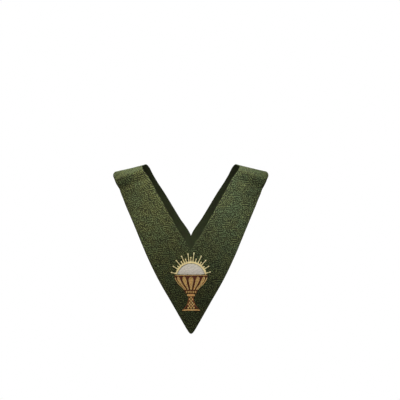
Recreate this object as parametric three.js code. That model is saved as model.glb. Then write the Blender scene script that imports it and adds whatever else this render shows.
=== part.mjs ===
// A worn scapular of the collar kind: a V-shaped band of stiff green brocade in front, the same
// band behind, joined over the shoulders, with a padded chalice and host on the front point.
// Millimetres. +Z is up and the front faces -Y. The origin is the middle of the neck opening, level
// with the inner corners of the shoulder seams.
import * as THREE from "three";

// ---- Cloth ----
const WALL = 2.4;
const SEAM_GAP = 0.3;
const EMBROIDERY_GAP = 0.3;
const EMBROIDERY_DEPTH = 1.3;

// ---- The general figure that the cloth lies on ----
// The shoulder line falls away from the neck, and is level with the origin at neckHalf.
const SHOULDER = { neckHalf: 96, slope: 0.245, blendHalf: 30, levelBelow: 160 };
// From the shoulder line the cloth turns down over a round that is smaller towards the arm.
const ROUND = { atNeck: 56, lossPerSquare: 0.00078, frontTurn: 78, backTurn: 80, backScale: 1.1 };
// Under the round, chest and back go on turning slowly towards the vertical.
const FALL = { frontRadius: 1600, frontTurn: 10, backRadius: 1500, backTurn: 10 };
// Seen from above, chest and back are round too.
const GIRTH = { perSquare: 0.0005, fullBelow: 90 };
// Where the shoulder line nears the neck it steepens.
const NECK_RISE = { slope: 0.7, blend: 12, from: 20, fade: 60 };

// ---- The cut, as half widths either side of the middle, down from the shoulder seam ----
const NECK_POINT = 190.7;
const TIP_ALONG = 339;
const FRONT_CUT = [
  { along: 0, inner: 97.0, outer: 151.5 },
  { along: 9, inner: 96.6, outer: 153.6 },
  { along: 20, inner: 94.2, outer: 153.4 },
  { along: 34, inner: 89.8, outer: 149.2 },
  { along: 60, inner: 76.4, outer: 140.2 },
  { along: 100, inner: 53.4, outer: 125.6 },
  { along: 150, inner: 24.2, outer: 105.6 },
  { along: NECK_POINT, inner: 0, outer: 88.9 },
  { along: 222, inner: 0, outer: 74.8 },
  { along: 250, inner: 0, outer: 60.8 },
  { along: 290, inner: 0, outer: 38.2 },
  { along: TIP_ALONG, inner: 0, outer: 10.8 },
  { along: 346, inner: 0, outer: 6.6 },
  { along: 350.5, inner: 0, outer: 3.2 },
  { along: 352.5, inner: 0, outer: 0 },
];
// Behind, the neck edge steps in at once, and from there the cut is the front's.
const BACK_NECK_CUT = [
  { along: 0, inner: 96.0, outer: 151.5 },
  { along: 9, inner: 90.0, outer: 153.6 },
  { along: 20, inner: 87.6, outer: 153.4 },
  { along: 34, inner: 84.6, outer: 149.2 },
];
const BACK_CUT = [...BACK_NECK_CUT, ...FRONT_CUT.slice(BACK_NECK_CUT.length)];

// ---- Mesh ----
const COLUMNS = 7;
const ROUND_STEP = 6.5;
const ROUND_END = 92;
const FALL_STEP = 12;
const NORMAL_STEP = 0.5;

// ---- Embroidery: sizes as they lie on the front point ----
const RIM_ALONG = 235.6;
const HOST = { radius: 27.0, below: 5.6, rows: 6, columns: 14, dome: 0.5 };
const GLORY = { gap: 0.3, ring: 3.6, rays: 19, from: 16.5, to: 163.5, long: 48.5, short: 41.5 };
const RAY = { baseHalf: 1.5, neckHalf: 0.7, knobHalf: 1.35, knob: 2.8, sideLoss: 9.0 };
const CUP = [
  { down: 0.3, half: 33.0 },
  { down: 4.0, half: 32.2 },
  { down: 8.5, half: 30.6 },
  { down: 13.0, half: 28.2 },
  { down: 17.5, half: 24.8 },
  { down: 21.5, half: 20.8 },
  { down: 25.0, half: 16.8 },
  { down: 28.5, half: 13.8 },
  { down: 32.5, half: 12.0 },
  { down: 37.0, half: 10.8 },
];
const KNOP = [
  { down: 37.3, half: 6.4 },
  { down: 39.1, half: 7.8 },
  { down: 40.9, half: 7.8 },
  { down: 42.6, half: 6.4 },
];
const FOOT = [
  { down: 42.9, half: 4.5 },
  { down: 47.0, half: 4.8 },
  { down: 53.0, half: 6.2 },
  { down: 59.0, half: 8.6 },
  { down: 64.0, half: 11.8 },
  { down: 66.6, half: 14.6 },
];
const FOOT_BAND = [
  { down: 66.9, half: 16.2 },
  { down: 68.6, half: 17.2 },
  { down: 70.3, half: 16.6 },
];
const PROFILE_STEP = 3.2;
const PROFILE_COLUMNS = 8;

const COLOURS = { brocade: 0x474d31, back: 0x424a2e, gold: 0xa9793c, pale: 0xcdb879, white: 0xc9c2bd };

const radians = THREE.MathUtils.degToRad;
const mix = THREE.MathUtils.lerp;
const ease = (value, low, high) => THREE.MathUtils.smoothstep(value, low, high);

// ---- The figure ----

// How far out from the shoulder line, and how far below it, a length of cloth reaches when it turns
// through one arc after another.
function reach(length, arcs) {
  let out = 0;
  let down = 0;
  let turned = 0;
  let rest = length;
  for (const { radius, turn } of arcs) {
    const angle = Math.min(rest / radius, radians(turn));
    out += radius * (Math.sin(turned + angle) - Math.sin(turned));
    down += radius * (Math.cos(turned) - Math.cos(turned + angle));
    turned += angle;
    rest -= angle * radius;
  }
  return { out: out + rest * Math.cos(turned), down: down + rest * Math.sin(turned) };
}

// The height of the shoulder line above the origin.
function shoulderHeight(across) {
  const half = Math.abs(across);
  const fall = Math.hypot(half, SHOULDER.blendHalf) - Math.hypot(SHOULDER.neckHalf, SHOULDER.blendHalf);
  return -SHOULDER.slope * fall;
}

function neckRise(across, length) {
  const inside = Math.max(0, SHOULDER.neckHalf - Math.abs(across));
  const rise = (NECK_RISE.slope * inside * inside) / (inside + NECK_RISE.blend);
  return rise * (1 - ease(length, NECK_RISE.from, NECK_RISE.from + NECK_RISE.fade));
}

// The figure's surface. across is sideways from the middle, along is down from the shoulder line,
// over the chest where it is positive and over the back where it is negative.
function figure(across, along) {
  const front = along >= 0;
  const length = Math.abs(along);
  const round = (ROUND.atNeck - ROUND.lossPerSquare * across * across) * (front ? 1 : ROUND.backScale);
  const arcs = front
    ? [{ radius: round, turn: ROUND.frontTurn }, { radius: FALL.frontRadius, turn: FALL.frontTurn }]
    : [{ radius: round, turn: ROUND.backTurn }, { radius: FALL.backRadius, turn: FALL.backTurn }];
  const { out, down } = reach(length, arcs);
  const depth = out - GIRTH.perSquare * across * across * ease(length, 0, GIRTH.fullBelow);
  const height = shoulderHeight(across) * (1 - ease(length, 0, SHOULDER.levelBelow));
  return new THREE.Vector3(across, front ? -depth : depth, height + neckRise(across, length) - down);
}

// A point of the cloth, raised off the figure along its outward normal.
function onCloth(across, along, raise) {
  const sideways = figure(across + NORMAL_STEP, along).sub(figure(across - NORMAL_STEP, along));
  const downwards = figure(across, along + NORMAL_STEP).sub(figure(across, along - NORMAL_STEP));
  const normal = downwards.cross(sideways).normalize();
  return figure(across, along).addScaledVector(normal, raise);
}

// ---- Flat patterns, and the solids made from them ----

// One column of a table of sections, read between its rows with a smooth curve.
function readTable(table, key, column, at) {
  const last = table.length - 1;
  let row = 0;
  while (row < last - 1 && at > table[row + 1][key]) row += 1;
  const slope = (index) => {
    const before = table[Math.max(0, index - 1)];
    const after = table[Math.min(last, index + 1)];
    return (after[column] - before[column]) / (after[key] - before[key]);
  };
  const [start, end] = [table[row], table[row + 1]];
  const span = end[key] - start[key];
  const t = (at - start[key]) / span;
  const ends = mix(start[column], end[column], t * t * (3 - 2 * t));
  return ends + span * (t * (1 - t) ** 2 * slope(row) - t * t * (1 - t) * slope(row + 1));
}

// Faces between the rows of a grid of pattern points, each row a list of [across, along].
function gridFaces(rows) {
  const faces = [];
  for (let i = 0; i + 1 < rows.length; i += 1) {
    for (let j = 0; j + 1 < rows[i].length; j += 1) {
      const [a, b] = [rows[i][j], rows[i][j + 1]];
      const [c, d] = [rows[i + 1][j], rows[i + 1][j + 1]];
      faces.push([a, c, b], [b, c, d]);
    }
  }
  return faces;
}

// Gives pattern points that coincide one number, and drops the faces that this closes up.
function weld(faces) {
  const points = [];
  const numbers = new Map();
  const number = (point) => {
    const name = point.map((value) => (Math.round(value * 1e4) / 1e4 + 0).toFixed(4)).join();
    if (!numbers.has(name)) {
      numbers.set(name, points.length);
      points.push(point);
    }
    return numbers.get(name);
  };
  const numbered = faces.map((face) => face.map(number));
  return { points, faces: numbered.filter(([a, b, c]) => a !== b && b !== c && c !== a) };
}

function volume(positions, triangles) {
  const corner = (index) => new THREE.Vector3().fromArray(positions, index * 3);
  return triangles.reduce((sum, [a, b, c]) => sum + corner(a).dot(corner(b).cross(corner(c))), 0);
}

// A closed solid between two heights over a flat pattern that is laid on the figure.
function thicken(patternFaces, low, high) {
  const { points, faces } = weld(patternFaces);
  const size = points.length;
  const top = points.map(([across, along]) => onCloth(across, along, high(across, along)));
  const bottom = points.map(([across, along]) => onCloth(across, along, low));
  const positions = [...top, ...bottom].flatMap((point) => point.toArray());
  const triangles = [];
  const edges = new Map();
  for (const [a, b, c] of faces) {
    triangles.push([a, b, c], [a + size, c + size, b + size]);
    for (const [from, to] of [[a, b], [b, c], [c, a]]) {
      const back = `${to},${from}`;
      if (edges.has(back)) edges.delete(back);
      else edges.set(`${from},${to}`, [from, to]);
    }
  }
  for (const [from, to] of edges.values()) {
    triangles.push([from, from + size, to], [to, from + size, to + size]);
  }
  if (volume(positions, triangles) < 0) triangles.forEach((triangle) => triangle.reverse());
  const geometry = new THREE.BufferGeometry();
  geometry.setAttribute("position", new THREE.Float32BufferAttribute(positions, 3));
  geometry.setIndex(triangles.flat());
  geometry.computeVertexNormals();
  return geometry;
}

// ---- Panels ----

// The lengths at which a panel has a row: close over the shoulder, wide on the fall, and at the
// neck point and every row of the cut below it.
function panelLengths(cut) {
  const tipRows = cut.filter(({ along }) => along >= TIP_ALONG).map(({ along }) => along);
  const stops = [SEAM_GAP / 2, ROUND_END, NECK_POINT, ...tipRows];
  const steps = [ROUND_STEP, FALL_STEP, FALL_STEP, ...tipRows.map(() => FALL_STEP)];
  const lengths = [stops[0]];
  for (let i = 1; i < stops.length; i += 1) {
    const count = Math.max(1, Math.round((stops[i] - stops[i - 1]) / steps[i - 1]));
    for (let k = 1; k <= count; k += 1) lengths.push(mix(stops[i - 1], stops[i], k / count));
  }
  return lengths;
}

function panelPattern(cut, direction) {
  const lengths = panelLengths(cut);
  const half = (side) =>
    lengths.map((length) => {
      const inner = length < NECK_POINT ? Math.max(0, readTable(cut, "along", "inner", length)) : 0;
      const outer = Math.max(0, readTable(cut, "along", "outer", length));
      return Array.from({ length: COLUMNS + 1 }, (_, j) => [
        side * mix(inner, outer, j / COLUMNS),
        direction * length,
      ]);
    });
  const mirrored = gridFaces(half(-1)).map((face) => [...face].reverse());
  return [...gridFaces(half(1)), ...mirrored];
}

const panel = (cut, direction) => thicken(panelPattern(cut, direction), 0, () => WALL);

// ---- Embroidery ----

const EMBROIDERY_FOOT = WALL + EMBROIDERY_GAP;
const flatTop = () => EMBROIDERY_FOOT + EMBROIDERY_DEPTH;

// A piece that is the same on both sides of the middle, from a table of its half widths.
function profilePiece(table) {
  const first = table[0].down;
  const last = table[table.length - 1].down;
  const count = Math.max(2, Math.round((last - first) / PROFILE_STEP));
  const rows = Array.from({ length: count + 1 }, (_, i) => {
    const down = mix(first, last, i / count);
    const half = readTable(table, "down", "half", down);
    return Array.from({ length: PROFILE_COLUMNS + 1 }, (_unused, j) => [
      half * (1 - (2 * j) / PROFILE_COLUMNS),
      RIM_ALONG + down,
    ]);
  });
  return thicken(gridFaces(rows), EMBROIDERY_FOOT, flatTop);
}

// A point of the pattern at an angle and radius about the middle of the host.
const aroundHost = (angle, radius) => [
  radius * Math.cos(angle),
  RIM_ALONG + HOST.below - radius * Math.sin(angle),
];

// The part of the host that stands above the rim, slightly domed.
function host() {
  const start = Math.asin(HOST.below / HOST.radius);
  const rows = Array.from({ length: HOST.rows + 1 }, (_, i) => {
    const angle = mix(start, Math.PI / 2, i / HOST.rows);
    const [half, along] = aroundHost(angle, HOST.radius);
    return Array.from({ length: HOST.columns + 1 }, (_unused, j) => [
      half * (1 - (2 * j) / HOST.columns),
      along,
    ]);
  });
  const dome = (across, along) => {
    const away = Math.hypot(across, RIM_ALONG + HOST.below - along) / HOST.radius;
    return flatTop() + HOST.dome * Math.max(0, 1 - away * away);
  };
  return thicken(gridFaces(rows), EMBROIDERY_FOOT, dome);
}

// A ring round the host that bears long and short rays in turn, each ending in a small knob.
function glory() {
  const inner = HOST.radius + GLORY.gap;
  const outer = inner + GLORY.ring;
  const ringStart = Math.asin((HOST.below + GLORY.gap) / inner);
  const baseAngle = RAY.baseHalf / outer;
  const faces = [];
  const angles = [ringStart];
  for (let k = 0; k < GLORY.rays; k += 1) {
    const angle = radians(mix(GLORY.from, GLORY.to, k / (GLORY.rays - 1)));
    angles.push(angle - baseAngle, angle + baseAngle);
    faces.push(...ray(angle, outer, k % 2 === 0 ? GLORY.long : GLORY.short));
  }
  angles.push(Math.PI - ringStart);
  faces.push(...gridFaces([inner, outer].map((radius) => angles.map((a) => aroundHost(a, radius)))));
  return thicken(faces, EMBROIDERY_FOOT, flatTop);
}

// One ray, rooted on the ring's outer edge. The side rays are shorter than the upper ones.
function ray(angle, root, reachOut) {
  const tip = reachOut - RAY.sideLoss * Math.cos(angle) ** 2;
  const sections = [
    { radius: root, half: RAY.baseHalf },
    { radius: mix(root, tip, 0.4), half: RAY.neckHalf },
    { radius: tip - RAY.knob, half: RAY.neckHalf },
    { radius: tip - RAY.knob / 2, half: RAY.knobHalf },
    { radius: tip, half: RAY.neckHalf },
  ];
  return gridFaces(
    sections.map(({ radius, half }) =>
      [-1, 1].map((side) => aroundHost(angle + (side * half) / radius, radius)),
    ),
  );
}

// ---- The garment ----

function piece(name, geometry, color, roughness, metalness = 0) {
  const material = new THREE.MeshStandardMaterial({ color, roughness, metalness });
  const mesh = new THREE.Mesh(geometry, material);
  mesh.name = name;
  return mesh;
}

const scapular = new THREE.Group();
scapular.name = "scapular";
scapular.add(
  piece("front_panel", panel(FRONT_CUT, 1), COLOURS.brocade, 0.8),
  piece("back_panel", panel(BACK_CUT, -1), COLOURS.back, 0.8),
  piece("host", host(), COLOURS.white, 0.45),
  piece("glory", glory(), COLOURS.pale, 0.4, 0.2),
  piece("cup", profilePiece(CUP), COLOURS.gold, 0.4, 0.2),
  piece("knop", profilePiece(KNOP), COLOURS.gold, 0.4, 0.2),
  piece("foot", profilePiece(FOOT), COLOURS.gold, 0.4, 0.2),
  piece("foot_band", profilePiece(FOOT_BAND), COLOURS.pale, 0.4, 0.2),
);

export default scapular;
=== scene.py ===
"""A worn scapular of green brocade with a stitched chalice and host, dressed over its CAD frame."""

import math
import random

import bpy
import bmesh
from mathutils import Matrix, Vector, noise


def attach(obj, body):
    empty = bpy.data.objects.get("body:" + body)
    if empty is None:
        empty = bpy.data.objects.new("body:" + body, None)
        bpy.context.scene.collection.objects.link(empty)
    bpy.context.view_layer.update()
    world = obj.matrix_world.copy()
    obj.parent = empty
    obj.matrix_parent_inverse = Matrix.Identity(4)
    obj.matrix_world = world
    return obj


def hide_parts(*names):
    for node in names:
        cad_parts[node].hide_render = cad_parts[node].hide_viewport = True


# Lengths are in millimetres and angles in degrees, unless a comment says otherwise.
MM = 0.001
SEED = 11  # every kind of stitch draws from a seed of its own, counted on from this

# ---- Cloth and embroidery, as thick as in the frame ----
WALL = 2.4
EMBROIDERY_GAP = 0.3
EMBROIDERY_DEPTH = 1.3
EMBROIDERY_FOOT = WALL + EMBROIDERY_GAP
EMBROIDERY_TOP = EMBROIDERY_FOOT + EMBROIDERY_DEPTH

# ---- The general figure that the cloth lies on ----
SHOULDER = dict(neck_half=96, slope=0.245, blend_half=30, level_below=160)
ROUND = dict(at_neck=56, loss_per_square=0.00078, front_turn=78, back_turn=80, back_scale=1.1)
FALL = dict(front_radius=1600, front_turn=10, back_radius=1500, back_turn=10)
GIRTH = dict(per_square=0.0005, full_below=90)
NECK_RISE = dict(slope=0.7, blend=12, start=20, fade=60)
SLOPE_STEP = 0.5  # how far to either side a slope is read

# ---- The cut: length down from the shoulder seam, half widths of the neck edge and the outer edge ----
INNER, OUTER = 1, 2  # the columns of the two half widths
SEAM_START = -0.05  # a panel starts a little past the shoulder line, so that the two meet there
NECK_POINT = 190.7
FRONT_CUT = (
    (0, 97.0, 151.5),
    (9, 96.6, 153.6),
    (20, 94.2, 153.4),
    (34, 89.8, 149.2),
    (60, 76.4, 140.2),
    (100, 53.4, 125.6),
    (150, 24.2, 105.6),
    (NECK_POINT, 0, 88.9),
    (222, 0, 74.8),
    (250, 0, 60.8),
    (290, 0, 38.2),
    (339, 0, 10.8),
    (346, 0, 6.6),
    (350.5, 0, 3.2),
    (352.5, 0, 0),
)
BACK_NECK_CUT = (
    (0, 96.0, 151.5),
    (9, 90.0, 153.6),
    (20, 87.6, 153.4),
    (34, 84.6, 149.2),
)
BACK_CUT = BACK_NECK_CUT + FRONT_CUT[len(BACK_NECK_CUT):]

# ---- The shell: its grid and its turned edges ----
SHELL_STEP = 2.2
BAND_WIDTH = 60  # the width that the number of columns is reckoned from
EDGE_STEPS = (0, 0.25, 0.6, 1.1, 1.8, 3.0, 4.6, 6.4)
EDGE_ROUND = 1.25  # how far in from an edge the wall is fully thick
TURNING = dict(width=7.5, rise=0.35, fade=2.5)  # the hem inside the edge lifts the face a little
SHELL_MERGE = dict(doubles=0.004, slivers=0.001)

# ---- How the cloth hangs ----
HANG = dict(size=46, swing=0.55, ripple=0.2, ripple_rate=2.7)
FLAT_POINT = dict(start=205, end=225, share=0.8)  # the embroidery holds the point flat

# Soft creases: middle across and along, half length, half width, angle from level, and depth,
# which is below 0 for a ridge.
FRONT_CREASES = (
    (-122, 33, 44, 8, -13, -4.0),
    (-120, 53, 50, 9, -8, 4.7),
    (-112, 70, 40, 14, -10, 1.8),
    (120, 34, 36, 8, 9, -3.4),
    (118, 54, 40, 9, 6, 4.3),
    (112, 73, 36, 14, 12, 1.5),
    (-96, 96, 34, 11, 58, 0.8),
    (101, 108, 30, 12, -62, 0.7),
    (-74, 148, 26, 10, 47, 0.7),
    (63, 131, 34, 12, -55, -0.6),
    (-47, 176, 22, 13, 38, -0.5),
    (84, 176, 24, 10, -50, 0.6),
)
BACK_CREASES = (
    (-118, 56, 40, 10, 4, 1.1),
    (124, 52, 36, 9, -4, 1.2),
    (-88, 118, 36, 12, 56, 0.8),
    (92, 132, 30, 13, -58, 0.7),
    (-58, 168, 28, 12, 44, -0.6),
    (12, 238, 46, 16, 12, 0.7),
    (60, 188, 26, 12, -50, 0.5),
)

# ---- Embroidered shapes, as in the frame; only the rays are finer and less even ----
RIM_ALONG = 235.6
HOST = dict(radius=27.0, below=5.6, dome=0.5)
GLORY = dict(gap=0.3, ring=3.6, rays=19, first=16.5, last=163.5, long=48.5, short=40.0)

# Profiles: length below the rim and half width.
HALF = 1  # the column of the half width
CUP = (
    (0.3, 33.0),
    (4.0, 32.2),
    (8.5, 30.6),
    (13.0, 28.2),
    (17.5, 24.8),
    (21.5, 20.8),
    (25.0, 16.8),
    (28.5, 13.8),
    (32.5, 12.0),
    (37.0, 10.8),
)
KNOP = ((37.3, 6.4), (39.1, 7.8), (40.9, 7.8), (42.6, 6.4))
FOOT = ((42.9, 4.5), (47.0, 4.8), (53.0, 6.2), (59.0, 8.6), (64.0, 11.8), (66.6, 14.6))
FOOT_BAND = ((66.9, 16.2), (68.6, 17.2), (70.3, 16.6))

# ---- Pads under the stitches: edge is the height near an edge, and top_gap is in radians ----
PAD = dict(inset=0.4, sink=0.35, below_top=0.15, bow=0.04, edge=(0.0, 0.62, 0.86, 0.96), merge=0.01)
PAD_GRID = dict(row=1.2, least_rows=6, columns=16)
HOST_PAD = dict(inset=0.5, lift=0.4, top_gap=0.02, rows=12, columns=24)
RING_PAD = dict(inset=0.2, rows=72, columns=6)

# ---- Threads ----
FILL_THREAD = 0.5
GROUND_THREAD = 0.62
THREAD_SIDES = 6
THREAD_END = 0.45  # a thread's width at its ends, as a share
STITCH_STEP = 0.44
LOOSE = 0.05  # how much higher or lower one stitch lies than the next
ROPE = dict(step=0.62, slant=0.8, look=0.01)

# How a stitch lies, as shares of its way and of its height. OVER rises from the foot of a pad to
# its top and goes down again. FLAT lies on a pad and dips into it at both ends.
OVER = ((0, 0.0), (0.06, 0.62), (0.25, 0.93), (0.5, 1.0), (0.75, 0.93), (0.94, 0.62), (1, 0.0))
FLAT = ((0, -0.6), (0.15, 0.45), (0.5, 1.0), (0.85, 0.45), (1, -0.6))
FLAT_ARCH = 0.3

# ---- Stitching of the host and the glory; the turn between rows and the ring's end in radians ----
HOST_ROWS = dict(bands=6, first=0.6, wave=1.05, pitch=11.0, turn=2.1, tilt=0.1, gap=0.6)
HOST_SATIN = dict(inset=0.3, lowest=0.1, shortest=0.5, lean=0.7, sink=0.6, arch=0.75)
RING = dict(end=0.01, lip=0.1)
RAY = dict(base_half=1.2, neck_at=0.4, neck_half=0.6, knob=2.6, knob_half=1.4, tip_half=0.45)
RAY_ENDS = dict(profile=1.2, root=0.8, tip=0.1)  # how far inside the ring and the tip they end
RAY_SPREAD = dict(side_loss=9.6, turn=1.3, shorter=1.3, longer=0.5)

# ---- Stitching of the cup ----
CUP_LOBES = ((-0.775, 0.072), (-0.42, 0.095), (0, 0.13), (0.42, 0.095), (0.775, 0.072))
LOBE = dict(top=4.4, end=28.8, cord=0.75, round=0.3, taper_from=0.25, taper=0.5, least=0.15)
RIM_CORD = dict(down=1.1, share=0.9, half=0.55)
SIDE_CORD = dict(top=6, end=29, share=0.965, length=32, half=0.55)
COLLAR = dict(top=31.2, end=36.0, beads=5, inset=0.4, gap=2.0)
GROUND = dict(inset=0.2, share=0.985, run=6.0, shorter=0.7, longer=1.2, last=1, sink=0.3, arch=0.15)
CUP_COLUMNS, FOOT_COLUMNS = 92, 30  # upright rows of the ground

# ---- Stitching of the knop and the foot ----
KNOP_SATIN = dict(share=0.97, half_height=2.5, least=0.05)
DIAMOND = dict(across=5.4, down=6.6, half=1.8, tall=2.3, least=0.1)
LATTICE = dict(top=1.6, end=1.4, margin=2.0, columns=4)
FOOT_CORD = dict(end=0.4, inset=0.55, half=0.6, slack=1.15)
BAND_SATIN = dict(inset=0.3, lip=0.1, drop=2)

# ---- Thread colours: light and dark on the screen, roughness, and how much painted glints break them up ----
THREADS = (
    ("white_silk_thread", (232, 224, 212), (184, 176, 165), 0.42, 0.0),
    ("pale_gold_thread", (255, 240, 184), (212, 190, 130), 0.36, 0.0),
    ("old_gold_thread", (255, 238, 164), (236, 176, 98), 0.36, 0.3),
    ("olive_gold_thread", (255, 212, 128), (150, 108, 52), 0.4, 0.2),
    ("red_gold_thread", (255, 220, 146), (212, 146, 78), 0.36, 0.25),
    ("gold_brown_thread", (196, 124, 66), (120, 64, 32), 0.5, 0.0),
    ("red_brown_thread", (98, 42, 20), (46, 21, 11), 0.75, 0.0),
)
OWN_TONE = 0.6  # how far a stitch's own tone reaches from the light to the dark colour

# Patches: scale and detail of the noise, where a patch starts and is full, and the values outside
# and inside it, which are 0 and 1 unless given. Inside a painted glint it is the thread's own value.
THREAD_WEAR = (900, 2.0, 0.35, 0.7, 0.0, 0.45)
# Painted glints: patches that push the thread towards its dark colour, a painted mottle of highlight
# and shade.
THREAD_PAINTED_GLINT = (420, 1.0, 0.48, 0.6, 0.0)
THREAD_TWIST = dict(scale=900.0, distortion=2.0, strength=0.35, height=0.06)
THREAD_FINISH = {"Specular IOR Level": 0.28, "Sheen Weight": 0.05}

# ---- Brocade: colours on the screen for light thread, cool thread, ground and brown ground ----
FACE_COLOURS = ((86, 91, 55), (80, 91, 59), (32, 33, 21), (35, 34, 21))
# The reverse has a weaker figure, and its colours are darkened as painted shade for the inside of the
# garment.
REVERSE_COLOURS_WITH_PAINTED_SHADE = ((46, 51, 33), (44, 51, 36), (52, 57, 36), (51, 51, 35))
THREAD_PITCH = 0.5

# Its figure: wave directions, wave lengths and weights.
WORM_WAVES = (
    (8, 4.0, 0.5),
    (47, 3.5, 0.62),
    (83, 3.8, 0.55),
    (118, 3.4, 0.6),
    (157, 4.2, 0.5),
)
HATCH_WAVE = (-41, 3.1, 1.3)
LEVEL_WAVE = (84, 3.7, 1.1)
DRIFT = dict(scale=0.1, detail=1.0, of_worms=9, of_lines=3.5)
FIGURE_EDGE = (0.03, 0.55)

# Its patches, in the same order.
COOL_PATCH = (0.04, 2.0, 0.4, 0.62)
BROWN_PATCH = (0.08, 2.0, 0.46, 0.66)
HATCHED_PATCH = (0.1, 1.0, 0.55, 0.59)
LEVEL_PATCH = (0.09, 1.0, 0.53, 0.6)
STRENGTH_PATCH = (0.3, 1.0, 0.36, 0.6, 0.4, 1.05)
BROWN_SHIFT = (170, 40, 0)  # patches read in another place don't follow the others
LEVEL_SHIFT = (300, 90, 0)
# How the weave's line tones the colour: each thread's own tone, and painted shade across the round
# threads and between them.
WEAVE_TONE_AND_PAINTED_SHADE = (-1.5, 1.5, 0.72, 1.3)
LINE_RELIEF = 0.3
BROCADE_BUMP = dict(strength=0.7, height=0.2)
BROCADE_FINISH = {"Roughness": 0.78, "Specular IOR Level": 0.06}

# ---- Camera: the origin's place in a frame 400 pixels wide ----
FRAME_PIXELS = 400
ORIGIN_PIXEL = (190.9, 166.6)
PIXELS_PER_RADIAN = 850
SENSOR_WIDTH = 36
CAMERA_DISTANCE = 1.7  # metres
CAMERA_ELEVATION = math.radians(6)

# ---- Stage and lamps, in metres and watts ----
FLOOR = dict(below=1.4, radius=1.15, segments=96, roughness=0.8)
FLOOR_COLOURS = ((0.83, 0.83, 0.82), (0.87, 0.87, 0.86))
FLOOR_PATCH = (3.0, 2.0, 0.3, 0.7)
WHITE = (1, 1, 1)
ROOM_LIGHT = 0.12
CHEST = (0, -0.05, -0.12)
KEY = dict(cone=10.0, blend=0.86, softness=0.06)

# Name, place, target, power and colour.
KEY_LAMPS = (
    ("left_key", (-0.1, -0.51, 0.84), (-0.068, -0.03, -0.094), 130, (1, 0.98, 0.9)),
    ("right_key", (0.1, -0.51, 0.84), (0.066, -0.03, -0.098), 140, (0.89, 0.97, 1.03)),
)

# Name, place, target, power, colour and the lamp's width.
SOFT_LAMPS = (
    ("overhead_softbox", (-0.16, 0.55, 0.9), (-0.02, 0.02, 0), 31.0, (0.92, 1, 0.72), 0.7),
    ("front_fill", (0.02, -2.4, 0.43), CHEST, 26.0, WHITE, 1.6),
    ("back_fill", (0.3, 2.2, 0.9), CHEST, 22.0, WHITE, 1.6),
)


def smooth(value, low, high):
    t = min(1.0, max(0.0, (value - low) / (high - low)))
    return t * t * (3 - 2 * t)


def mix(a, b, t):
    return a + (b - a) * t


def spaced(start, end, count):
    """Values from start to end in count equal steps, both ends included."""
    return [mix(start, end, k / count) for k in range(count + 1)]


# ---- The figure ----


def reach(length, arcs):
    """How far out from the shoulder line, and how far below it, a length of cloth reaches."""
    out = down = turned = 0.0
    rest = length
    for radius, turn in arcs:
        angle = min(rest / radius, math.radians(turn))
        out += radius * (math.sin(turned + angle) - math.sin(turned))
        down += radius * (math.cos(turned) - math.cos(turned + angle))
        turned += angle
        rest -= angle * radius
    return out + rest * math.cos(turned), down + rest * math.sin(turned)


def shoulder_height(across):
    blend = SHOULDER["blend_half"]
    fall = math.hypot(across, blend) - math.hypot(SHOULDER["neck_half"], blend)
    return -SHOULDER["slope"] * fall


def neck_rise(across, length):
    inside = max(0.0, SHOULDER["neck_half"] - abs(across))
    rise = NECK_RISE["slope"] * inside * inside / (inside + NECK_RISE["blend"])
    return rise * (1 - smooth(length, NECK_RISE["start"], NECK_RISE["start"] + NECK_RISE["fade"]))


def figure(across, along):
    """The figure's surface: sideways from the middle, and down from the shoulder line."""
    side = "front" if along >= 0 else "back"
    length = abs(along)
    radius = ROUND["at_neck"] - ROUND["loss_per_square"] * across * across
    radius *= 1 if along >= 0 else ROUND["back_scale"]
    arcs = ((radius, ROUND[side + "_turn"]), (FALL[side + "_radius"], FALL[side + "_turn"]))
    out, down = reach(length, arcs)
    depth = out - GIRTH["per_square"] * across * across * smooth(length, 0, GIRTH["full_below"])
    height = shoulder_height(across) * (1 - smooth(length, 0, SHOULDER["level_below"]))
    height += neck_rise(across, length) - down
    return Vector((across, -depth if along >= 0 else depth, height))


def on_cloth(across, along, lift):
    """A point raised off the figure along its outward normal, in metres."""
    sideways = figure(across + SLOPE_STEP, along) - figure(across - SLOPE_STEP, along)
    downwards = figure(across, along + SLOPE_STEP) - figure(across, along - SLOPE_STEP)
    normal = downwards.cross(sideways).normalized()
    return (figure(across, along) + normal * lift) * MM


def read_table(table, column, at):
    """One column of a table of sections, read between its rows with a smooth curve."""
    last = len(table) - 1
    row = 0
    while row < last - 1 and at > table[row + 1][0]:
        row += 1

    def slope(index):
        before, after = table[max(0, index - 1)], table[min(last, index + 1)]
        return (after[column] - before[column]) / (after[0] - before[0])

    start, end = table[row], table[row + 1]
    span = end[0] - start[0]
    t = (at - start[0]) / span
    ends = mix(start[column], end[column], t * t * (3 - 2 * t))
    return ends + span * (t * (1 - t) ** 2 * slope(row) - t * t * (1 - t) * slope(row + 1))


# ---- Pieces from grids of points ----


def placed(name, data):
    """A new object with that data, in the scene and at the origin."""
    thing = bpy.data.objects.new(name, data)
    bpy.context.scene.collection.objects.link(thing)
    return thing


def grid_faces(form, rows):
    """The faces between rows of vertices."""
    return [
        form.faces.new(quad)
        for upper, lower in zip(rows, rows[1:])
        for quad in zip(upper, upper[1:], lower[1:], lower)
    ]


def closed_piece(name, form, doubles, slivers):
    """A smooth closed piece of sheets whose edges meet within doubles."""
    bmesh.ops.remove_doubles(form, verts=form.verts, dist=doubles * MM)
    bmesh.ops.dissolve_degenerate(form, edges=form.edges, dist=slivers * MM)
    bmesh.ops.recalc_face_normals(form, faces=form.faces)
    for face in form.faces:
        face.smooth = True
    mesh = bpy.data.meshes.new(name)
    form.to_mesh(mesh)
    form.free()
    return placed(name, mesh)


# ---- Panels ----


def inner_edge(cut, length):
    return max(0.0, read_table(cut, INNER, length)) if length < NECK_POINT else 0.0


def outer_edge(cut, length):
    return max(0.0, read_table(cut, OUTER, length))


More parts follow.
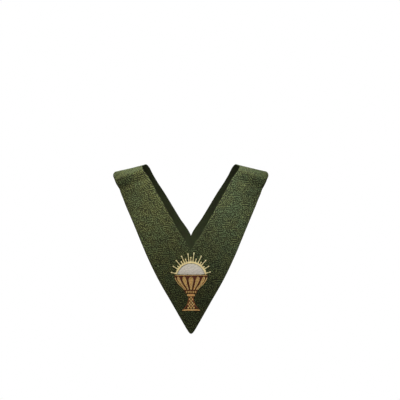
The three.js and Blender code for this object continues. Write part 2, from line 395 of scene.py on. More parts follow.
def edge_distance(cut, across, length):
    """How far a point of the cut lies from the nearest edge of the cloth."""
    half = abs(across)
    low, high = max(SEAM_START, length - SLOPE_STEP), min(cut[-1][0], length + SLOPE_STEP)
    outer_slope = (outer_edge(cut, high) - outer_edge(cut, low)) / (high - low)
    outer = (outer_edge(cut, length) - half) / math.hypot(1, outer_slope)
    if length < NECK_POINT:
        high = min(high, NECK_POINT)
        inner_slope = (inner_edge(cut, high) - inner_edge(cut, low)) / (high - low)
        inner = (half - inner_edge(cut, length)) / math.hypot(1, inner_slope)
    else:
        inner = math.hypot(half, length - NECK_POINT)
    return max(0.0, min(outer, inner, length - SEAM_START))


def crease_depth(creases, across, length):
    total = 0.0
    for mid_across, mid_along, long_half, wide_half, angle, depth in creases:
        turn = math.radians(angle)
        dx, dy = across - mid_across, length - mid_along
        along_it = (dx * math.cos(turn) + dy * math.sin(turn)) / long_half
        over_it = (dy * math.cos(turn) - dx * math.sin(turn)) / wide_half
        total += depth * math.exp(-along_it * along_it - over_it * over_it)
    return total


def hang(across, length):
    """The small unevenness of cloth that hangs by its own weight."""
    place = Vector((across, length, 0)) / HANG["size"]
    ripple = HANG["ripple"] * noise.noise(place * HANG["ripple_rate"])
    return HANG["swing"] * noise.noise(place) + ripple


def wall_heights(cut, creases, across, length):
    """The heights of the inside and the outside of the wall at a point of the cut."""
    away = edge_distance(cut, across, length)
    t = min(1.0, away / EDGE_ROUND)
    swell = math.sqrt(max(0.0, 1 - (1 - t) ** 2))
    over = 1 - smooth(away, TURNING["width"], TURNING["width"] + TURNING["fade"])
    rise = TURNING["rise"] * over * smooth(away, 0, EDGE_ROUND * 2)
    held = FLAT_POINT["share"] * smooth(length, FLAT_POINT["start"], FLAT_POINT["end"])
    shift = (hang(across, length) - crease_depth(creases, across, length)) * (1 - held)
    middle = WALL / 2 + shift
    return middle - swell * WALL / 2, middle + swell * WALL / 2 + rise


def panel_lengths(cut):
    """Rows down the panel: crowded at the seam, the neck point and the tip."""
    end = cut[-1][0]
    rows = {SEAM_START + step for step in EDGE_STEPS}
    rows |= {NECK_POINT + step for step in EDGE_STEPS}
    rows |= {end - step for step in EDGE_STEPS}
    stops = sorted(rows)
    lengths = [stops[0]]
    for stop in stops[1:]:
        start = lengths[-1]
        count = max(1, round((stop - start) / SHELL_STEP))
        lengths += spaced(start, stop, count)[1:]
    return lengths


def panel_columns():
    """Shares of a band's width, crowded at both edges."""
    near = [step / BAND_WIDTH for step in EDGE_STEPS]
    middle = spaced(near[-1], 1 - near[-1], round(BAND_WIDTH / SHELL_STEP))[1:-1]
    return near + middle + [1 - share for share in reversed(near)]


def panel_shell(name, cut, creases, direction):
    """A closed cloth wall with rounded edges on the cut's form; its UV map is the flat cut."""
    form = bmesh.new()
    flat = form.loops.layers.uv.new("cut")
    places = {}

    def corner(across, length, top):
        low, high = wall_heights(cut, creases, across, length)
        vert = form.verts.new(on_cloth(across, direction * length, high if top else low))
        places[vert] = (across * MM, direction * length * MM)
        return vert

    columns = panel_columns()
    lengths = panel_lengths(cut)
    for side in (1, -1):
        for top in (True, False):
            rows = []
            for length in lengths:
                inner, outer = inner_edge(cut, length), outer_edge(cut, length)
                rows.append([corner(side * mix(inner, outer, s), length, top) for s in columns])
            for face in grid_faces(form, rows):
                face.material_index = 0 if top else 1
                for loop in face.loops:
                    loop[flat].uv = places[loop.vert]
    return closed_piece(name, form, **SHELL_MERGE)


# ---- Pads ----


def half_width(table, down):
    return read_table(table, HALF, down)


def around_host(angle, radius):
    """A point of the pattern round the middle of the host; the angle is in radians."""
    return radius * math.cos(angle), RIM_ALONG + HOST["below"] - radius * math.sin(angle)


def ring_start(radius):
    """The angle of the ring's flat end on a circle round the host."""
    return math.asin((HOST["below"] + GLORY["gap"]) / radius) + RING["end"]


def pad(name, rows):
    """A low rounded pad under the stitches, over a grid of pattern points with edges all round."""
    form = bmesh.new()
    last_row, last_column = len(rows) - 1, len(rows[0]) - 1
    foot = EMBROIDERY_FOOT - PAD["sink"]
    height = EMBROIDERY_DEPTH - PAD["below_top"] + PAD["sink"]

    def swell(i, j):
        inward = min(i, last_row - i, j, last_column - j, len(PAD["edge"]) - 1)
        return PAD["edge"][inward] + PAD["bow"] * math.sin(math.pi * j / last_column)

    def sheet(lift):
        return [
            [form.verts.new(on_cloth(*point, lift(i, j))) for j, point in enumerate(row)]
            for i, row in enumerate(rows)
        ]

    grid_faces(form, sheet(lambda i, j: foot + height * swell(i, j)))
    grid_faces(form, sheet(lambda i, j: foot))
    return closed_piece(name, form, PAD["merge"], PAD["merge"])


def level_row(half, along, columns):
    """Pattern points from one side of the middle to the other."""
    return [(half * (1 - 2 * j / columns), along) for j in range(columns + 1)]


def profile_rows(table):
    """Pattern points over a shape that is the same on both sides of the middle."""
    first, last = table[0][0] + PAD["inset"], table[-1][0] - PAD["inset"]
    count = max(PAD_GRID["least_rows"], round((last - first) / PAD_GRID["row"]))
    return [
        level_row(half_width(table, down) - PAD["inset"], RIM_ALONG + down, PAD_GRID["columns"])
        for down in spaced(first, last, count)
    ]


def host_pad_rows():
    radius = HOST["radius"] - HOST_PAD["inset"]
    lowest = math.asin((HOST["below"] + HOST_PAD["lift"]) / radius)
    angles = spaced(lowest, math.pi / 2 - HOST_PAD["top_gap"], HOST_PAD["rows"])
    return [level_row(*around_host(angle, radius), HOST_PAD["columns"]) for angle in angles]


def glory_pad_rows():
    inner = HOST["radius"] + GLORY["gap"] + RING_PAD["inset"]
    outer = inner + GLORY["ring"] - 2 * RING_PAD["inset"]
    start = ring_start(inner)
    radii = spaced(inner, outer, RING_PAD["columns"])
    angles = spaced(start, math.pi - start, RING_PAD["rows"])
    return [[around_host(angle, radius) for radius in radii] for angle in angles]


# ---- Stitches ----


class Stitches:
    """Stitches of one colour, each a short run of points over the cloth with a tone of its own."""

    def __init__(self, seed, width=FILL_THREAD):
        self.runs = []
        self.random = random.Random(seed)
        self.width = width

    def run(self, start, end, shape, height):
        """A stitch between two pattern points; height gives its lift at a share of its shape."""
        points = [
            on_cloth(mix(start[0], end[0], t), mix(start[1], end[1], t), height(share))
            for t, share in shape
        ]
        self.runs.append((points, self.random.random()))

    def over(self, start, end):
        """A stitch that comes up at one edge of a pad, lies over it and goes down at the other."""
        top = EMBROIDERY_TOP + self.random.uniform(-LOOSE, LOOSE)
        self.run(start, end, OVER, lambda share: mix(EMBROIDERY_FOOT, top, share))

    def flat(self, start, end, top=EMBROIDERY_TOP, arch=FLAT_ARCH):
        """A stitch that lies on a pad and dips into it at both ends."""
        self.run(start, end, FLAT, lambda share: top + arch * share)

    def satin(self, left, right, length, lay=None):
        """Stitches side by side between two paths, which are functions of the share of the way."""
        count = max(2, round(length / STITCH_STEP))
        for k in range(count + 1):
            (lay or self.over)(left(k / count), right(k / count))

    def rope(self, path, length, half):
        """A cord of short slanting stitches along a path, reaching half to either side."""
        count = max(3, round(length / ROPE["step"]))
        for k in range(count + 1):
            t = k / count
            here = Vector(path(t))
            ahead = Vector(path(min(1, t + ROPE["look"])))
            behind = Vector(path(max(0, t - ROPE["look"])))
            way = (ahead - behind).normalized()
            side = Vector((-way.y, way.x)) * half
            lean = way * ROPE["slant"] / 2
            self.flat(here - side - lean, here + side + lean)

    def mesh(self, name):
        mesh = bpy.data.meshes.new(name)
        verts, edges, tones = [], [], []
        for points, tone in self.runs:
            first = len(verts)
            verts += points
            tones += [tone] * len(points)
            edges += [(first + k, first + k + 1) for k in range(len(points) - 1)]
        mesh.from_pydata(verts, edges, [])
        layer = mesh.attributes.new("tone", "FLOAT", "POINT")
        layer.data.foreach_set("value", tones)
        return mesh


def level_path(left, right, down):
    """A level path over the pattern, that far below the rim."""
    return lambda t: (mix(left, right, t), RIM_ALONG + down)


# ---- Host and glory ----


def host_border(index, across, radius):
    """How far above the rim one of the wavy borders between the rows runs."""
    level = (radius - HOST["below"]) * (index - HOST_ROWS["first"]) / (HOST_ROWS["bands"] - 1)
    turn = 2 * math.pi * across / HOST_ROWS["pitch"] + HOST_ROWS["turn"] * index
    return level + HOST_ROWS["tilt"] * across + HOST_ROWS["wave"] * math.sin(turn)


def host_stitches():
    """Rows of slanting satin with wavy borders, white, over the half host."""
    stitches = Stitches(SEED)
    radius = HOST["radius"] - HOST_SATIN["inset"]
    lean = HOST_SATIN["lean"]
    count = round(2 * radius / STITCH_STEP)
    for band in range(HOST_ROWS["bands"] + 2):
        for k in range(1, count):
            across = mix(-radius, radius, k / count)
            ceiling = math.sqrt(radius * radius - across * across) - HOST["below"]
            low = host_border(band, across, radius) + HOST_ROWS["gap"]
            low = max(HOST_SATIN["lowest"], low)
            high = min(host_border(band + 1, across, radius), ceiling)
            if high - low > HOST_SATIN["shortest"]:
                dome = HOST["dome"] * (1 - (across / radius) ** 2)
                top = EMBROIDERY_TOP + dome - HOST_SATIN["sink"]
                start = (across - lean, RIM_ALONG - low)
                end = (across + lean, RIM_ALONG - high)
                stitches.flat(start, end, top, HOST_SATIN["arch"])
    return stitches


def ray_profile(root, tip):
    """Half widths along a ray, from the ring out to its knob."""
    return (
        (root - RAY_ENDS["profile"], RAY["base_half"]),
        (root, RAY["base_half"]),
        (mix(root, tip, RAY["neck_at"]), RAY["neck_half"]),
        (tip - RAY["knob"], RAY["neck_half"]),
        (tip - RAY["knob"] / 2, RAY["knob_half"]),
        (tip, RAY["tip_half"]),
    )


def ray_edge(angle, root, tip, side):
    """One side of a ray, as a path from the ring to the tip."""
    table = ray_profile(root, tip)

    def at(t):
        radius = mix(root - RAY_ENDS["root"], tip - RAY_ENDS["tip"], t)
        return around_host(angle + side * half_width(table, radius) / radius, radius)

    return at


def ray_angles():
    """Every ray's direction and how far its knob is from the middle of the host."""
    wear_and_painted_glints = random.Random(SEED)
    for k in range(GLORY["rays"]):
        angle = math.radians(mix(GLORY["first"], GLORY["last"], k / (GLORY["rays"] - 1)))
        angle += math.radians(wear_and_painted_glints.uniform(-RAY_SPREAD["turn"], RAY_SPREAD["turn"]))
        tip = GLORY["long"] if k % 2 == 0 else GLORY["short"]
        tip -= RAY_SPREAD["side_loss"] * math.cos(angle) ** 2
        yield angle, tip + wear_and_painted_glints.uniform(-RAY_SPREAD["shorter"], RAY_SPREAD["longer"])


def glory_stitches():
    """The ring of radial satin and its rays, pale gold."""
    stitches = Stitches(SEED + 1)
    inner = HOST["radius"] + GLORY["gap"]
    outer = inner + GLORY["ring"]
    start = ring_start(inner)

    def ring_edge(radius):
        return lambda t: around_host(mix(start, math.pi - start, t), radius)

    stitches.satin(ring_edge(inner), ring_edge(outer + RING["lip"]), inner * (math.pi - 2 * start))
    for angle, tip in ray_angles():
        edges = (ray_edge(angle, outer, tip, side) for side in (-1, 1))
        stitches.satin(*edges, tip - outer + RAY_ENDS["root"])
    return stitches


# ---- Cup ----


def cup_point(share, down):
    return share * half_width(CUP, down), RIM_ALONG + down


def lobe_edge(middle, half, side, inset=0.0):
    """One side of a lobe: round at its top, widest in its upper third, drawn to a point below."""

    def at(t):
        down = mix(LOBE["top"] + inset, LOBE["end"] - 2 * inset, t)
        swell = math.sqrt(1 - (1 - min(1.0, t / LOBE["round"])) ** 2)
        swell *= 1 - LOBE["taper"] * smooth(t, LOBE["taper_from"], 1)
        across, along = cup_point(middle, down)
        width = half * half_width(CUP, down) * swell - inset
        return across + side * max(LOBE["least"], width), along

    return at


def cup_cords():
    """Gold cords round every lobe, under the rim and down both sides."""
    stitches = Stitches(SEED + 2)
    for middle, half in CUP_LOBES:
        for side in (-1, 1):
            edge = lobe_edge(middle, half, side)
            stitches.rope(edge, LOBE["end"] - LOBE["top"], LOBE["cord"])
    half = RIM_CORD["share"] * CUP[0][HALF]
    stitches.rope(level_path(-half, half, RIM_CORD["down"]), 2 * half, RIM_CORD["half"])

    def side_edge(side):
        share = SIDE_CORD["share"] * side
        return lambda t: cup_point(share, mix(SIDE_CORD["top"], SIDE_CORD["end"], t))

    for side in (-1, 1):
        stitches.rope(side_edge(side), SIDE_CORD["length"], SIDE_CORD["half"])
    return stitches


def cup_fill():
    """Satin across the inside of every lobe, and the beads of the collar below them."""
    stitches = Stitches(SEED + 3)
    for middle, half in CUP_LOBES:
        edges = (lobe_edge(middle, half, side, LOBE["cord"]) for side in (-1, 1))
        stitches.satin(*edges, LOBE["end"] - LOBE["top"], stitches.flat)
    half = half_width(CUP, COLLAR["end"]) - COLLAR["inset"]
    pitch = 2 * half / COLLAR["beads"]
    for bead in range(COLLAR["beads"]):
        left = -half + bead * pitch + COLLAR["gap"] / 2
        right = left + pitch - COLLAR["gap"]
        edges = (level_path(left, right, COLLAR[end]) for end in ("top", "end"))
        stitches.satin(*edges, right - left, stitches.flat)
    return stitches


def ground_stitches(table, columns, seed):
    """Dark upright stitches over a whole shape, seen between its gold parts."""
    stitches = Stitches(seed, GROUND_THREAD)
    first, last = table[0][0] + GROUND["inset"], table[-1][0] - GROUND["inset"]
    for share in spaced(-GROUND["share"], GROUND["share"], columns):
        low = first
        while low < last - GROUND["last"]:
            run = GROUND["run"] * stitches.random.uniform(GROUND["shorter"], GROUND["longer"])
            high = min(last, low + run)
            start = (share * half_width(table, low), RIM_ALONG + low)
            end = (share * half_width(table, high), RIM_ALONG + high)
            stitches.flat(start, end, EMBROIDERY_TOP - GROUND["sink"], GROUND["arch"])
            low = high - GROUND["inset"]
    return stitches


# ---- Knop, foot and band ----


def knop_stitches():
    """Upright satin over the knop, shorter towards its ends."""
    stitches = Stitches(SEED + 6)
    half = KNOP[1][HALF]
    middle = (KNOP[0][0] + KNOP[-1][0]) / 2

    def edge(end):
        def at(t):
            across = mix(-half, half, t) * KNOP_SATIN["share"]
            bulge = math.sqrt(max(KNOP_SATIN["least"], 1 - (across / half) ** 4))
            return across, RIM_ALONG + middle + end * KNOP_SATIN["half_height"] * bulge

        return at

    stitches.satin(edge(-1), edge(1), 2 * half)
    return stitches


def diamond_middles():
    """The staggered places down the stem and the foot that have room for a diamond."""
    first, last = FOOT[0][0] + LATTICE["top"], FOOT[-1][0] - LATTICE["end"]
    rows = int((last - first) / (DIAMOND["down"] / 2)) + 1
    for row in range(rows):
        down = first + row * DIAMOND["down"] / 2
        room = half_width(FOOT, min(last, down)) - LATTICE["margin"]
        offset = 0.5 if row % 2 else 0.0
        for column in range(-LATTICE["columns"], LATTICE["columns"] + 1):
            across = (column + offset) * DIAMOND["across"]
            if abs(across) <= room:
                yield across, down


def diamond_edge(across, down, side):
    """One side of a diamond, as a path from its top to its bottom."""

    def at(t):
        wide = DIAMOND["half"] * (1 - abs(2 * t - 1)) + DIAMOND["least"]
        return across + side * wide, RIM_ALONG + down + (2 * t - 1) * DIAMOND["tall"]

    return at


def foot_diamonds():
    """Staggered satin diamonds down the stem and the foot."""
    stitches = Stitches(SEED + 7)
    for across, down in diamond_middles():
        edges = (diamond_edge(across, down, side) for side in (-1, 1))
        stitches.satin(*edges, 2 * DIAMOND["tall"], stitches.flat)
    return stitches


def foot_cords():
    """A cord down both sides of the foot."""
    stitches = Stitches(SEED + 8)
    first, last = FOOT[0][0] + FOOT_CORD["end"], FOOT[-1][0] - FOOT_CORD["end"]

    def edge(side):
        def at(t):
            down = mix(first, last, t)
            return side * (half_width(FOOT, down) - FOOT_CORD["inset"]), RIM_ALONG + down

        return at

    for side in (-1, 1):
        stitches.rope(edge(side), FOOT_CORD["slack"] * (last - first), FOOT_CORD["half"])
    return stitches


def foot_band_stitches():
    """Upright satin over the band under the foot, shorter towards its ends."""
    stitches = Stitches(SEED + 9)
    half = FOOT_BAND[1][HALF] - BAND_SATIN["inset"]
    top = RIM_ALONG + FOOT_BAND[0][0] + BAND_SATIN["lip"]
    bottom = RIM_ALONG + FOOT_BAND[-1][0] - BAND_SATIN["lip"]
    stitches.satin(
        lambda t: (mix(-half, half, t), top + BAND_SATIN["drop"] * (2 * t - 1) ** 4),
        lambda t: (mix(-half, half, t), bottom),
        2 * half,
    )
    return stitches


# ---- Nodes ----


class Nodes:
    """A node tree, with short ways to add what it needs."""

    def __init__(self, tree):
        self.tree = tree

    def node(self, kind, inputs=None, **settings):
        node = self.tree.nodes.new(kind)
        for key, value in settings.items():
            setattr(node, key, value)
        for key, value in (inputs or {}).items():
            self.give(node.inputs[key], value)
        return node

    def give(self, socket, value):
        if isinstance(value, bpy.types.NodeSocket):
            self.tree.links.new(value, socket)
        else:
            socket.default_value = value

    def math(self, operation, *values, clamp=False):
        node = self.node("ShaderNodeMath", operation=operation, use_clamp=clamp)
        for socket, value in zip(node.inputs, values):
            self.give(socket, value)
        return node.outputs[0]


class Shader(Nodes):
    """A node material."""

    def __init__(self, name):
        self.material = bpy.data.materials.new(name)
        self.material.use_nodes = True
        super().__init__(self.material.node_tree)
        self.surface = self.tree.nodes["Principled BSDF"]

    def finish(self, inputs):
        for key, value in inputs.items():
            self.give(self.surface.inputs[key], value)

    def ramp(self, value, low, high, to_low=0.0, to_high=1.0):
        node = self.node(
            "ShaderNodeMapRange",
            {"Value": value, "From Min": low, "From Max": high, "To Min": to_low, "To Max": to_high},
            interpolation_type="SMOOTHSTEP",
        )
        return node.outputs[0]

    def blend(self, share, a, b):
        node = self.node("ShaderNodeMix", data_type="RGBA")
        self.give(node.inputs["Factor"], share)
        for socket, value in zip((node.inputs[6], node.inputs[7]), (a, b)):
            self.give(socket, value if isinstance(value, bpy.types.NodeSocket) else (*value, 1))
        return node.outputs[2]

    def toned(self, colour, shade):
        """A colour made lighter or darker by a number."""
        node = self.node("ShaderNodeMix", data_type="RGBA", blend_type="MULTIPLY")
        for socket, value in zip((node.inputs["Factor"], *node.inputs[6:8]), (1.0, colour, shade)):
            self.give(socket, value)
        return node.outputs[2]

    def number_mix(self, share, a, b):
        node = self.node("ShaderNodeMix", data_type="FLOAT")
        for socket, value in zip(node.inputs[:1] + node.inputs[2:4], (share, a, b)):
            self.give(socket, value)
        return node.outputs[0]

    def noise(self, vector, scale, detail, output="Fac"):
        node = self.node("ShaderNodeTexNoise", {"Vector": vector, "Scale": scale, "Detail": detail})
        return node.outputs[output]

    def patches(self, vector, scale, detail, *values):
        """Soft patches of noise, between the values of a ramp."""
        return self.ramp(self.noise(vector, scale, detail), *values)

    def vector(self, operation, a, b):
        node = self.node("ShaderNodeVectorMath", operation=operation)
        for socket, value in zip(node.inputs, (a, b)):
            self.give(socket, value)
        return node.outputs["Value" if operation == "DOT_PRODUCT" else "Vector"]

    def bump(self, relief, strength, height):
        inputs = {"Height": relief, "Strength": strength, "Distance": height * MM}
        self.finish({"Normal": self.node("ShaderNodeBump", inputs).outputs["Normal"]})


# ---- Threads by Geometry Nodes ----


def thread_tree():
    """Turns runs of points into threads that swell in the middle and thin towards their ends."""
    tree = bpy.data.node_groups.new("threads", "GeometryNodeTree")
    for name, kind in (("Geometry", "Geometry"), ("Thread Width", "Float"), ("Material", "Material")):
        tree.interface.new_socket(name, in_out="INPUT", socket_type="NodeSocket" + kind)
    tree.interface.new_socket("Geometry", in_out="OUTPUT", socket_type="NodeSocketGeometry")

    nodes = Nodes(tree)
    given = nodes.node("NodeGroupInput").outputs
    result = nodes.node("NodeGroupOutput")
    curves = nodes.node("GeometryNodeMeshToCurve", {"Mesh": given["Geometry"]})
    way = nodes.node("GeometryNodeSplineParameter").outputs["Factor"]
    bow = nodes.math("SINE", nodes.math("MULTIPLY", way, math.pi))
    thin = nodes.math("MULTIPLY", given["Thread Width"], THREAD_END)
    thin_radius = nodes.math("MULTIPLY", thin, 0.5)
    full_radius = nodes.math("MULTIPLY", given["Thread Width"], 0.5)
    radius = nodes.node(
        "ShaderNodeMapRange", {"Value": bow, "To Min": thin_radius, "To Max": full_radius}
    )
    sized = nodes.node(
        "GeometryNodeSetCurveRadius",
        {"Curve": curves.outputs["Curve"], "Radius": radius.outputs["Result"]},
    )
    section = nodes.node(
        "GeometryNodeCurvePrimitiveCircle", {"Resolution": THREAD_SIDES, "Radius": 1.0}
    )
    tube = nodes.node(
        "GeometryNodeCurveToMesh",
        {"Curve": sized.outputs["Curve"], "Profile Curve": section.outputs["Curve"], "Fill Caps": True},
    )
    if "Scale" in tube.inputs:  # where it is missing, the tube follows the radius by itself
        nodes.give(tube.inputs["Scale"], nodes.node("GeometryNodeInputRadius").outputs[0])
    shaded = nodes.node("GeometryNodeSetShadeSmooth", {"Geometry": tube.outputs["Mesh"]})
    dyed = nodes.node(
        "GeometryNodeSetMaterial",
        {"Geometry": shaded.outputs["Geometry"], "Material": given["Material"]},
    )
    nodes.give(result.inputs["Geometry"], dyed.outputs["Geometry"])
    return tree


def thread_piece(tree, name, stitches, material):
    """A plain mesh of threads along the stitches."""
    piece = placed(name, stitches.mesh(name))
    modifier = piece.modifiers.new("threads", "NODES")
    modifier.node_group = tree
    values = {"Thread Width": stitches.width * MM, "Material": material}
    for socket in tree.interface.items_tree:
        if socket.in_out == "INPUT" and socket.name in values:
            modifier[socket.identifier] = values[socket.name]
    graph = bpy.context.evaluated_depsgraph_get()
    mesh = bpy.data.meshes.new_from_object(piece.evaluated_get(graph))
    piece.modifiers.clear()
    piece.data = mesh
    return piece


# ---- Materials ----


def linear(screen):
    """A colour given as screen values from 0 to 255."""
    return tuple(((value / 255 + 0.055) / 1.055) ** 2.4 for value in screen)


def brocade(name, colours):
    """Two-tone jacquard: patches of hatching, of level waves and of wiry worms on a dark ground."""
    thread, cool_thread, ground, brown_ground = (linear(colour) for colour in colours)
    shader = Shader(name)
    flat = shader.node("ShaderNodeUVMap", uv_map="cut").outputs["UV"]
    cut = shader.vector("MULTIPLY", flat, (1 / MM, 1 / MM, 0))
    pick = shader.vector("SNAP", cut, (THREAD_PITCH, THREAD_PITCH, 1))  # one crossing of two threads
    light = brocade_figure(shader, pick)
    elsewhere = shader.vector("ADD", pick, BROWN_SHIFT)
    cool = shader.patches(pick, *COOL_PATCH)
    brown = shader.patches(elsewhere, *BROWN_PATCH)
    colour = shader.blend(
        light, shader.blend(brown, ground, brown_ground), shader.blend(cool, thread, cool_thread)
    )
    weft = weave_line(shader, cut, pick, (0, 1, 0))
    warp = weave_line(shader, cut, pick, (1, 0, 0))
    line = shader.number_mix(light, warp, weft)
    # Painted shade: the colour darkens between the round threads, besides each thread's own tone.
    shader.finish({"Base Color": shader.toned(colour, shader.ramp(line, *WEAVE_TONE_AND_PAINTED_SHADE))})
    shader.finish(BROCADE_FINISH)
    relief = shader.math("ADD", light, shader.math("MULTIPLY", line, LINE_RELIEF))
    shader.bump(relief, **BROCADE_BUMP)
    return shader.material


def brocade_figure(shader, place):
    """How far the light weft shows at a crossing, from 0 to 1."""
    swirl = shader.noise(place, DRIFT["scale"], DRIFT["detail"], "Color")
    drift = shader.vector("SUBTRACT", swirl, (0.5, 0.5, 0.5))

    def drifted(far):
        return shader.vector("ADD", place, shader.vector("MULTIPLY", drift, (far, far, 0)))

    def wave(point, angle, length, weight):
        turn = math.radians(angle)
        rate = 2 * math.pi / length
        along = shader.vector("DOT_PRODUCT", point, (math.cos(turn) * rate, math.sin(turn) * rate, 0))
        return shader.math("MULTIPLY", shader.math("SINE", shader.math("ADD", along, angle)), weight)

    for_worms, for_lines = drifted(DRIFT["of_worms"]), drifted(DRIFT["of_lines"])
    worms = wave(for_worms, *WORM_WAVES[0])
    for one in WORM_WAVES[1:]:
        worms = shader.math("ADD", worms, wave(for_worms, *one))
    elsewhere = shader.vector("ADD", place, LEVEL_SHIFT)
    hatched = shader.patches(place, *HATCHED_PATCH)
    levelled = shader.patches(elsewhere, *LEVEL_PATCH)
    height = shader.number_mix(levelled, worms, wave(for_lines, *LEVEL_WAVE))
    height = shader.number_mix(hatched, height, wave(for_lines, *HATCH_WAVE))
    strength = shader.patches(place, *STRENGTH_PATCH)
    return shader.math("MULTIPLY", shader.ramp(height, *FIGURE_EDGE), strength)


def weave_line(shader, cut, pick, axis):
    """Round threads side by side along one axis of the cloth, each a little lighter or darker; their
    rise and fall also darkens the brocade's colour between threads as painted shade.
    """
    rate = [2 * math.pi / THREAD_PITCH * share for share in axis]
    around = shader.math("SINE", shader.vector("DOT_PRODUCT", cut, rate))
    which = shader.vector("MULTIPLY", pick, axis)
    own = shader.node("ShaderNodeTexWhiteNoise", {"Vector": which}).outputs["Value"]
    return shader.math("ADD", around, shader.math("SUBTRACT", own, 0.5))


def thread_material(name, light, dark, roughness, painted_glint):
    """Twisted silky thread, each stitch with a tone of its own; wear and painted glints darken it in
    patches.
    """
    shader = Shader(name)
    tone = shader.node("ShaderNodeAttribute", attribute_name="tone").outputs["Fac"]
    place = shader.node("ShaderNodeTexCoord").outputs["Object"]
    wear = shader.patches(place, *THREAD_WEAR)
    # The wear is the thread's own; the glint patches are painted light and shade that darken the colour
    # in patches.
    wear_and_painted_glints = shader.math("ADD", wear, shader.patches(place, *THREAD_PAINTED_GLINT, painted_glint))
    share = shader.math("ADD", shader.math("MULTIPLY", tone, OWN_TONE), wear_and_painted_glints, clamp=True)
    shader.finish({"Base Color": shader.blend(share, linear(light), linear(dark))})
    shader.finish({"Roughness": roughness, **THREAD_FINISH})
    twist = shader.node(
        "ShaderNodeTexWave",
        {"Vector": place, "Scale": THREAD_TWIST["scale"], "Distortion": THREAD_TWIST["distortion"]},
        wave_type="BANDS",
        bands_direction="DIAGONAL",
    )
    shader.bump(twist.outputs["Fac"], THREAD_TWIST["strength"], THREAD_TWIST["height"])
    return shader.material


def floor_material():
    shader = Shader("pale_floor")
    place = shader.node("ShaderNodeTexCoord").outputs["Object"]
    colour = shader.blend(shader.patches(place, *FLOOR_PATCH), *FLOOR_COLOURS)
    shader.finish({"Base Color": colour, "Roughness": FLOOR["roughness"]})
    return shader.material


# ---- Camera, stage and light ----


def aim(thing, place, target):
    """Puts a camera or a lamp at a place and turns it to a target."""
    thing.location = place
    thing.rotation_mode = "QUATERNION"
    thing.rotation_quaternion = (Vector(target) - Vector(place)).to_track_quat("-Z", "Y")


def place_camera():
    """Looks down at six degrees, with the origin on its pixel of the frame."""
    back = Vector((0, -math.cos(CAMERA_ELEVATION), math.sin(CAMERA_ELEVATION)))
    up = Vector((0, math.sin(CAMERA_ELEVATION), math.cos(CAMERA_ELEVATION)))
    scale = CAMERA_DISTANCE / PIXELS_PER_RADIAN
    middle = FRAME_PIXELS / 2
    target = Vector((1, 0, 0)) * (middle - ORIGIN_PIXEL[0]) * scale
    target -= up * (middle - ORIGIN_PIXEL[1]) * scale
    camera = placed("camera", bpy.data.cameras.new("camera"))
    camera.data.sensor_width = SENSOR_WIDTH
    camera.data.lens = SENSOR_WIDTH * PIXELS_PER_RADIAN / FRAME_PIXELS
    aim(camera, back * CAMERA_DISTANCE, target)
    bpy.context.scene.camera = camera


def place_floor():
    form = bmesh.new()
    below = Matrix.Translation((0, 0, -FLOOR["below"]))
    bmesh.ops.create_circle(
        form, cap_ends=True, radius=FLOOR["radius"], segments=FLOOR["segments"], matrix=below
    )
    mesh = bpy.data.meshes.new("floor")
    form.to_mesh(mesh)
    form.free()
    floor = placed("floor", mesh)
    floor.data.materials.append(floor_material())


def lamp(kind, name, place, target, power, colour):
    """Places a lamp and returns its data."""
    data = bpy.data.lights.new(name, kind)
    data.energy = power
    data.color = colour
    aim(placed(name, data), place, target)
    return data


def place_lights():
    """Two soft spots on the bands that fade towards the point, a softbox above, weak fills."""
    for spot in KEY_LAMPS:
        data = lamp("SPOT", *spot)
        data.spot_size = math.radians(KEY["cone"])
        data.spot_blend = KEY["blend"]
        data.shadow_soft_size = KEY["softness"]
    for *soft, width in SOFT_LAMPS:
        data = lamp("AREA", *soft)
        data.shape = "DISK"
        data.size = width


def place_room():
    """A white room behind everything, which lights the cloth only a little."""
    world = bpy.data.worlds.new("white_room")
    world.use_nodes = True
    bpy.context.scene.world = world
    nodes = Nodes(world.node_tree)
    seen = nodes.tree.nodes["Background"]
    nodes.give(seen.inputs["Color"], (*WHITE, 1))
    nodes.give(seen.inputs["Strength"], 1.0)
    lit = nodes.node("ShaderNodeBackground", {"Color": (*WHITE, 1), "Strength": ROOM_LIGHT})
    by_camera = nodes.node("ShaderNodeLightPath").outputs["Is Camera Ray"]
    choose = nodes.node("ShaderNodeMixShader", {0: by_camera, 1: lit.outputs[0], 2: seen.outputs[0]})
    nodes.give(nodes.tree.nodes["World Output"].inputs["Surface"], choose.outputs[0])


# ---- The garment ----


def dress(piece, slot, *replaced):
    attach(piece, "root")
    if replaced:
        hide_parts(*replaced)
    return piece


def flat_size(cut):
    """The width and the length of a cut, in metres."""
    widest = max(outer_edge(cut, tenth / 10) for tenth in range(round(cut[-1][0] * 10)))
    return round(2 * widest * MM, 4), cut[-1][0] * MM


def cut_area(cut):
    """The flat area of a cut, in square metres, from strips one millimetre long."""
    middles = [strip + 0.5 for strip in range(round(cut[-1][0]))]
    width = sum(2 * (outer_edge(cut, middle) - inner_edge(cut, middle)) for middle in middles)
    return width * MM * MM


def make_panels():
    face = brocade("green_brocade", FACE_COLOURS)
    # The inside of both panels, darkened with painted shade.
    reverse = brocade("brocade_reverse_painted_shade", REVERSE_COLOURS_WITH_PAINTED_SHADE)
    panels = []
    for name, cut, creases, direction in (
        ("front_panel", FRONT_CUT, FRONT_CREASES, 1),
        ("back_panel", BACK_CUT, BACK_CREASES, -1),
    ):
        panel = panel_shell(name + "_cloth", cut, creases, direction)
        panel.data.materials.append(face)
        panel.data.materials.append(reverse)
        panels.append(dress(panel, "brocade", name))
    return panels


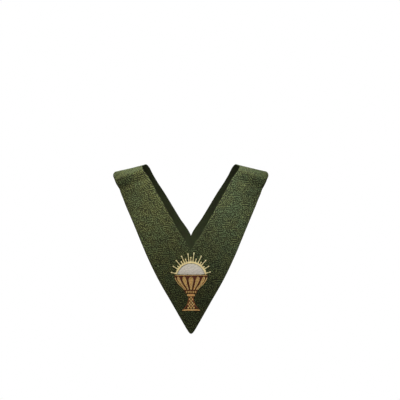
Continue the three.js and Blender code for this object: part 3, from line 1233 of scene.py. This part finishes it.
def make_pads(white, pale, dark):
    pads = (
        ("host", host_pad_rows(), white, "white_thread"),
        ("glory", glory_pad_rows(), pale, "pale_gold_thread"),
        ("cup", profile_rows(CUP), dark, "gold_thread"),
        ("knop", profile_rows(KNOP), dark, "gold_thread"),
        ("foot", profile_rows(FOOT), dark, "gold_thread"),
        ("foot_band", profile_rows(FOOT_BAND), dark, "pale_gold_thread"),
    )
    made = []
    for node, rows, material, slot in pads:
        piece = pad(node + "_pad", rows)
        piece.data.materials.append(material)
        made.append(dress(piece, slot, node))
    return made


def make_embroidery():
    white, pale, gold, olive, red_gold, brown, dark = (thread_material(*one) for one in THREADS)
    tree = thread_tree()
    made = make_pads(white, pale, dark)
    threads = (
        ("host", host_stitches(), white, "white_thread"),
        ("glory", glory_stitches(), pale, "pale_gold_thread"),
        ("cup_ground", ground_stitches(CUP, CUP_COLUMNS, SEED + 4), dark, "gold_thread"),
        ("cup_lobe", cup_fill(), olive, "gold_thread"),
        ("cup_cord", cup_cords(), gold, "gold_thread"),
        ("knop", knop_stitches(), red_gold, "gold_thread"),
        ("foot_ground", ground_stitches(FOOT, FOOT_COLUMNS, SEED + 5), dark, "gold_thread"),
        ("foot_diamond", foot_diamonds(), gold, "gold_thread"),
        ("foot_cord", foot_cords(), brown, "gold_thread"),
        ("foot_band", foot_band_stitches(), red_gold, "pale_gold_thread"),
    )
    for name, stitches, material, slot in threads:
        made.append(dress(thread_piece(tree, name + "_stitches", stitches, material), slot))
    return made


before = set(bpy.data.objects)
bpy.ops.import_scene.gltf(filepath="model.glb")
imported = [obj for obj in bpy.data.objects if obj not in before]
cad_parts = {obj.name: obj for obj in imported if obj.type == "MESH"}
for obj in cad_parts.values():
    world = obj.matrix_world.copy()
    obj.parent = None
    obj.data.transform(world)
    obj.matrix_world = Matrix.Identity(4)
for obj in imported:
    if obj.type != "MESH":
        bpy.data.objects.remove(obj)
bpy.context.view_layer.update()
bpy.context.scene.view_settings.view_transform = "Standard"
place_camera()
place_floor()
place_lights()
place_room()
front, back = make_panels()
embroidery = make_embroidery()
flat_size(FRONT_CUT)
cut_area(FRONT_CUT)
flat_size(BACK_CUT)
cut_area(BACK_CUT)
